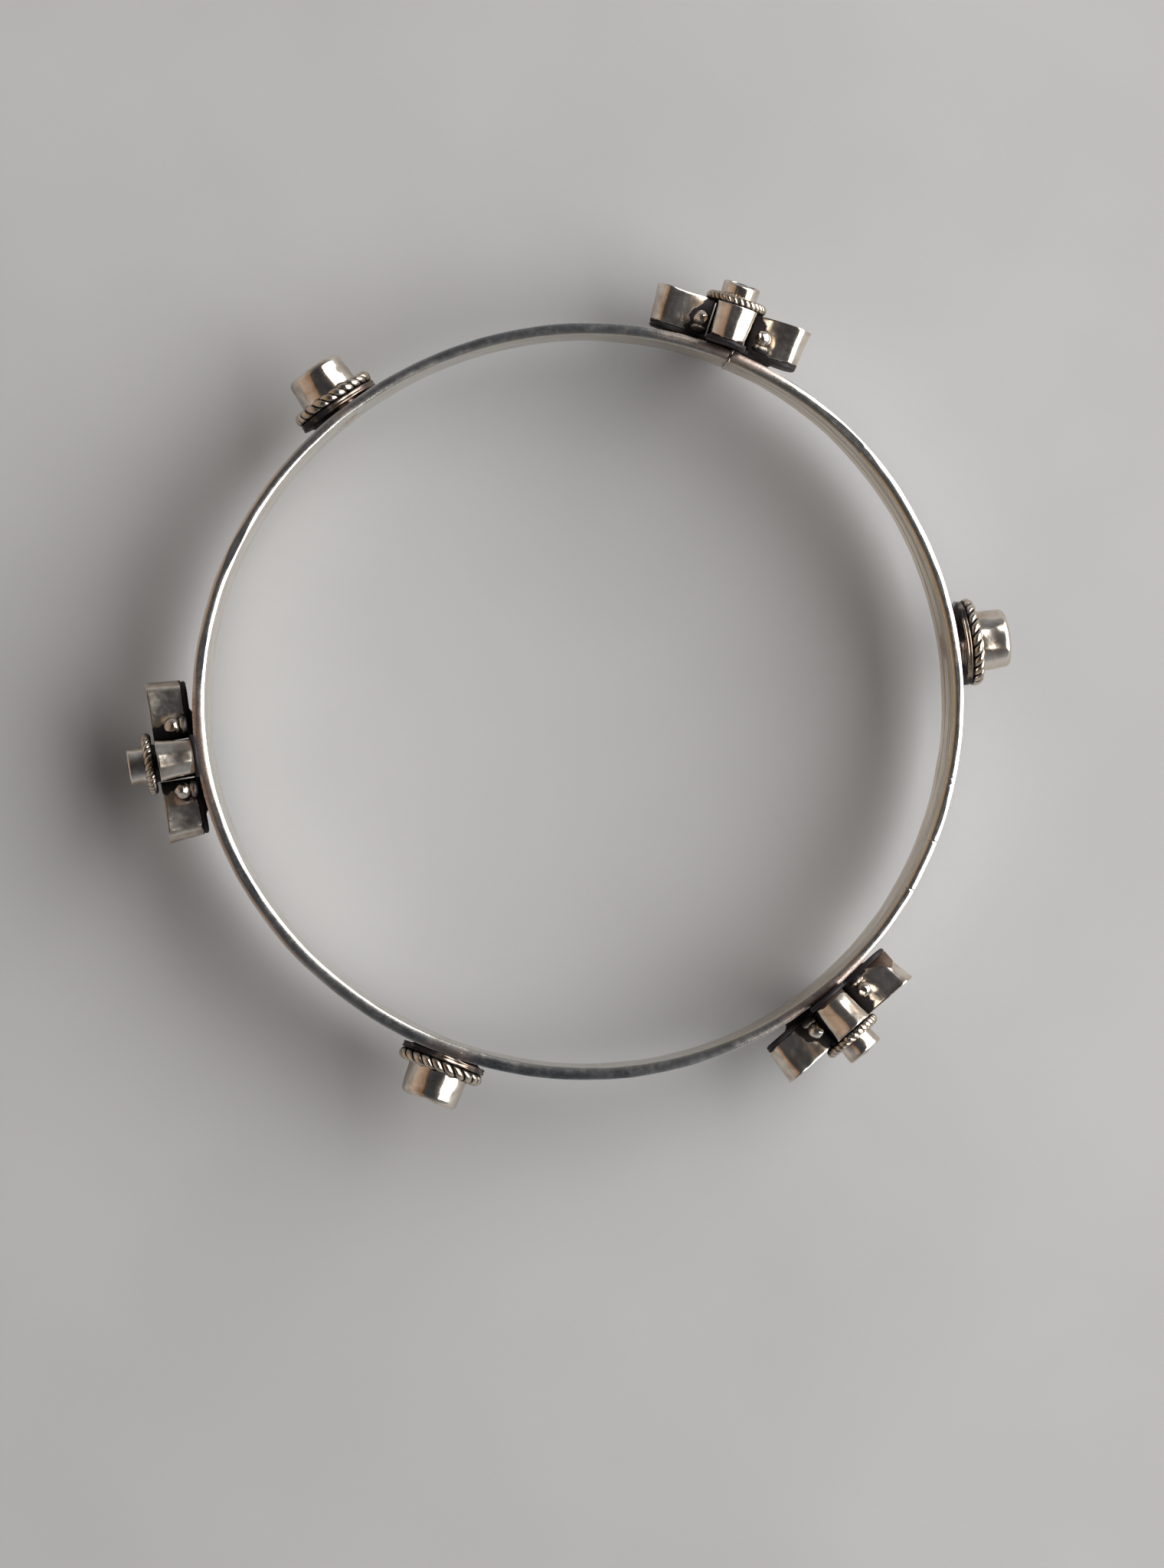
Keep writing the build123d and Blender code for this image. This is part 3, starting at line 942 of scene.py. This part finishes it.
def build_crown(setting, seed):
    """The tube setting in the middle of a flower, and its stone."""
    hand = BY_HAND[setting.name]
    crown_low, crown_high = setting.span("crown_bezel")
    stone_low, stone_high = setting.span("crown_stone")
    radius = crown_high[0]
    rope_top = setting.span("rope_ring")[1][2]
    # A leaning crown is pressed down a little, so its high side stands no higher than the others.
    crest = crown_high[2] - 0.9 * radius * math.sin(math.radians(hand["lean"])) * 0.6
    crown = bezel_profile(radius - 0.03, stone_high[0] - 0.02, crown_low[2], crest, 0.22)

    # Painted shade with oxide: the crown darkens below the top of the rope round it.
    def crown_oxide_and_shade(p):
        height = p[:, 2] + 0.1 * wobble(p, 1.0, seed + 91)
        return 1.1 * (1 - smooth(rope_top - 0.35, rope_top + 0.3, height))

    leaning = {"lean": hand["lean"], "slide": hand["slide"], "pivot": rope_top}
    turned(setting, "crown_bezel", crown, tube_metal, "bezel_silver", seed + 92,
           dent=0.03, oxide=crown_oxide_and_shade, **leaning)
    stone_crest = crest + stone_high[2] - crown_high[2] - 0.01
    dome = dome_profile(stone_high[0] - 0.05, stone_low[2], crest - 0.32, stone_crest)
    turned(setting, "crown_stone", dome, stone_glass, "stone", seed + 93,
           dent=0.0, closed=True, **leaning)


def build_flower(setting, number):
    seed = 100 * number
    build_plate(setting, seed)
    foot(setting, setting.span("base_plate")[0][2], seed + 5)
    for k, (petal, degrees) in enumerate(PETALS.items()):
        build_petal(setting, petal, degrees, seed + 10 * k + 7)
    build_petal_fillings(setting, seed)
    build_granules(setting, seed + 80)
    rope(setting, 14, 0.4 + number, seed + 90, BY_HAND[setting.name]["slide"], worn=-0.2)
    build_crown(setting, seed)


# ------------------------------------------------------------------ round settings


# Where bright solder has spilt out towards +Z: the angle round the setting, and how far out, in mm.
SPILLS = {"round_1": (110, 3.2), "round_2": (106, 3.62), "round_3": (66, 3.62)}


def build_round(setting, number, twists):
    name = setting.name
    seed = 1000 + 100 * number
    disc_low, disc_high = setting.span("base_disc")
    tube_low, tube_high = setting.span("tube_bezel")
    stone_low, stone_high = setting.span("stone")
    radius, bottom, top = disc_high[0], disc_low[2], disc_high[2]
    seam = (bottom + top) / 2

    # Two thin discs soldered together, their shared edge a shallow line.
    edge = [(0.05, bottom), (radius * 0.5, bottom), (radius - 0.2, bottom)]
    edge += [tuple(p) for p in arc((radius - 0.12, bottom + 0.12), 0.12, -90, 30, 5)]
    edge += [(radius - 0.07, seam)]
    edge += [tuple(p) for p in arc((radius - 0.12, top - 0.12), 0.12, -30, 90, 5)]
    edge += [(radius - 0.3, top), (radius * 0.5, top), (0.05, top)]

    def disc_oxide(p):
        spilt = gauss(angle_gap(np.arctan2(p[:, 1], p[:, 0]), math.radians(SPILLS[name][0])), 0.5)
        return 0.62 + 0.25 * wobble(p, 1.9, seed + 1) - 0.9 * spilt

    turned(setting, "base_disc", edge, plate_metal, "plate_silver", seed + 2,
           dent=0.05, oxide=disc_oxide, columns=128, closed=True)
    foot(setting, bottom, seed + 3, SPILLS[name])

    rope(setting, twists, 0.9 * number, seed + 4)

    outer, inner = tube_high[0] - 0.05, stone_high[0] - 0.03
    tube = bezel_profile(outer, inner, tube_low[2], tube_high[2], 0.5, taper=0.16)
    rope_top = setting.span("rope_ring")[1][2]

    # Painted shade with oxide: the tube darkens below the top of the rope round it, and on its inner wall
    # under the lip.
    def tube_oxide_and_shade(p):
        low = 1 - smooth(rope_top - 0.25, rope_top + 0.22, p[:, 2] + 0.12 * wobble(p, 1.3, seed + 5))
        within = 1 - smooth(stone_high[0] - 0.1, stone_high[0] + 0.1, np.linalg.norm(p[:, :2], axis=1))
        return np.maximum(1.1 * low, 0.75 * within * (p[:, 2] < tube_high[2] - 0.12))

    turned(setting, "tube_bezel", tube, tube_metal, "bezel_silver", seed + 6,
           dent=0.016, oxide=tube_oxide_and_shade, columns=144)
    girdle = tube_high[2] - 0.62
    dome = dome_profile(stone_high[0] - 0.06, stone_low[2], girdle, stone_high[2] - 0.02)
    turned(setting, "stone", dome, stone_glass, "stone", seed + 7, dent=0.0, closed=True)
    bed = [(stone_high[0] - 0.05, tube_low[2]), (stone_high[0] - 0.05, stone_low[2]), (0.05, stone_low[2])]
    turned(setting, "stone_bed", bed, bed_filling, "bed", seed + 8, dent=0.0, closed=True)


build_band()
build_seam()
for number, name in enumerate(FLOWERS, start=1):
    build_flower(SETTINGS[name], number)
for number, (name, twists) in enumerate(zip(ROUNDS, (11, 12, 11)), start=1):
    build_round(SETTINGS[name], number, twists)

# ------------------------------------------------------------------ floor, camera and light

# The view's right-hand side, as an angle from +X in the row frame.
VIEW_TURN = math.radians(21.4)


def from_view(x, y, z):
    """A point given by the view's own right, up and towards-the-camera directions, in mm."""
    c, s = math.cos(VIEW_TURN), math.sin(VIEW_TURN)
    return Vector((x * c - y * s, x * s + y * c, z)) * MM


def floor_material():
    n = Nodes("table")
    shade = n.ramp(n.noise(45, detail=3), 0.3, 0.7)
    n.put(n.shader.inputs["Base Color"], n.mix(shade, (0.395, 0.395, 0.40), (0.43, 0.43, 0.435)))
    n.shader.inputs["Roughness"].default_value = 0.9
    n.put(n.shader.inputs["Normal"], n.bump(n.noise(0.5, detail=3), 0.15, 0.05))
    return n.material


# Half the floor's side, in metres.
FLOOR_HALF = 1.6
lowest = cad_box[0].z
floor_mesh = bpy.data.meshes.new("floor")
corners = [(x * FLOOR_HALF, y * FLOOR_HALF, lowest) for x, y in ((-1, -1), (1, -1), (1, 1), (-1, 1))]
floor_mesh.from_pydata(corners, [], [(0, 1, 2, 3)])
floor_mesh.materials.append(floor_material())
floor = bpy.data.objects.new("floor", floor_mesh)
bpy.context.scene.collection.objects.link(floor)


def panel(name, place, look_at, width, height, radiance, colour):
    """A rectangular light of an even brightness, at a place given in the view's directions."""
    light = bpy.data.lights.new(name, "AREA")
    light.shape = "RECTANGLE"
    light.size, light.size_y = width, height
    light.energy = radiance * width * height * math.pi
    light.color = colour
    lamp = bpy.data.objects.new(name, light)
    bpy.context.scene.collection.objects.link(lamp)
    lamp.location = from_view(*place)
    lamp.rotation_euler = (from_view(*look_at) - lamp.location).to_track_quat("-Z", "Y").to_euler()


panel("window", (640, 130, 470), (0, 60, 120), 1.25, 0.86, 5.2, (1.0, 0.985, 0.96))
panel("warm_wall", (-700, 0, 400), (0, 0, 40), 1.2, 0.85, 0.26, (1.0, 0.56, 0.22))


def studio_world():
    """A dim room: dark overhead, where the photographer stands, and paler towards the horizon."""
    world = bpy.data.worlds.new("studio")
    world.use_nodes = True
    tree = world.node_tree
    sky = tree.nodes["Background"]
    place = tree.nodes.new("ShaderNodeTexCoord")
    split = tree.nodes.new("ShaderNodeSeparateXYZ")
    ramp = tree.nodes.new("ShaderNodeValToRGB")
    tree.links.new(place.outputs["Generated"], split.inputs[0])
    tree.links.new(split.outputs["Z"], ramp.inputs["Fac"])
    tree.links.new(ramp.outputs["Color"], sky.inputs["Color"])
    stops = ramp.color_ramp.elements
    stops[0].position, stops[0].color = 0.0, (0.34, 0.35, 0.37, 1)
    stops[1].position, stops[1].color = 1.0, (0.045, 0.047, 0.055, 1)
    for position, colour in ((0.45, (0.20, 0.21, 0.225, 1)), (0.8, (0.075, 0.078, 0.086, 1))):
        stops.new(position).color = colour
    bpy.context.scene.world = world


studio_world()

camera_data = bpy.data.cameras.new("camera")
camera = bpy.data.objects.new("camera", camera_data)
bpy.context.scene.collection.objects.link(camera)
# How far the camera stands above the ring's middle, and how much of the upper rim's plane the frame
# shows from top to bottom, both in mm.
DISTANCE = 400.0
VIEW_HEIGHT = 133.25
camera.location = from_view(-15.5, -11.0, DISTANCE)
aim = from_view(0.2, -7.1, 0) - camera.location
up = from_view(0, 1, 0)
back = -aim.normalized()
right = up.cross(back).normalized()
true_up = back.cross(right)
camera.rotation_euler = Matrix((right, true_up, back)).transposed().to_euler()
camera_data.sensor_fit = "VERTICAL"
camera_data.sensor_height = 36.0
camera_data.lens = camera_data.sensor_height * (DISTANCE - band_half) / VIEW_HEIGHT
camera_data.clip_start = 0.01
bpy.context.scene.camera = camera
bpy.context.scene.view_settings.view_transform = "Standard"
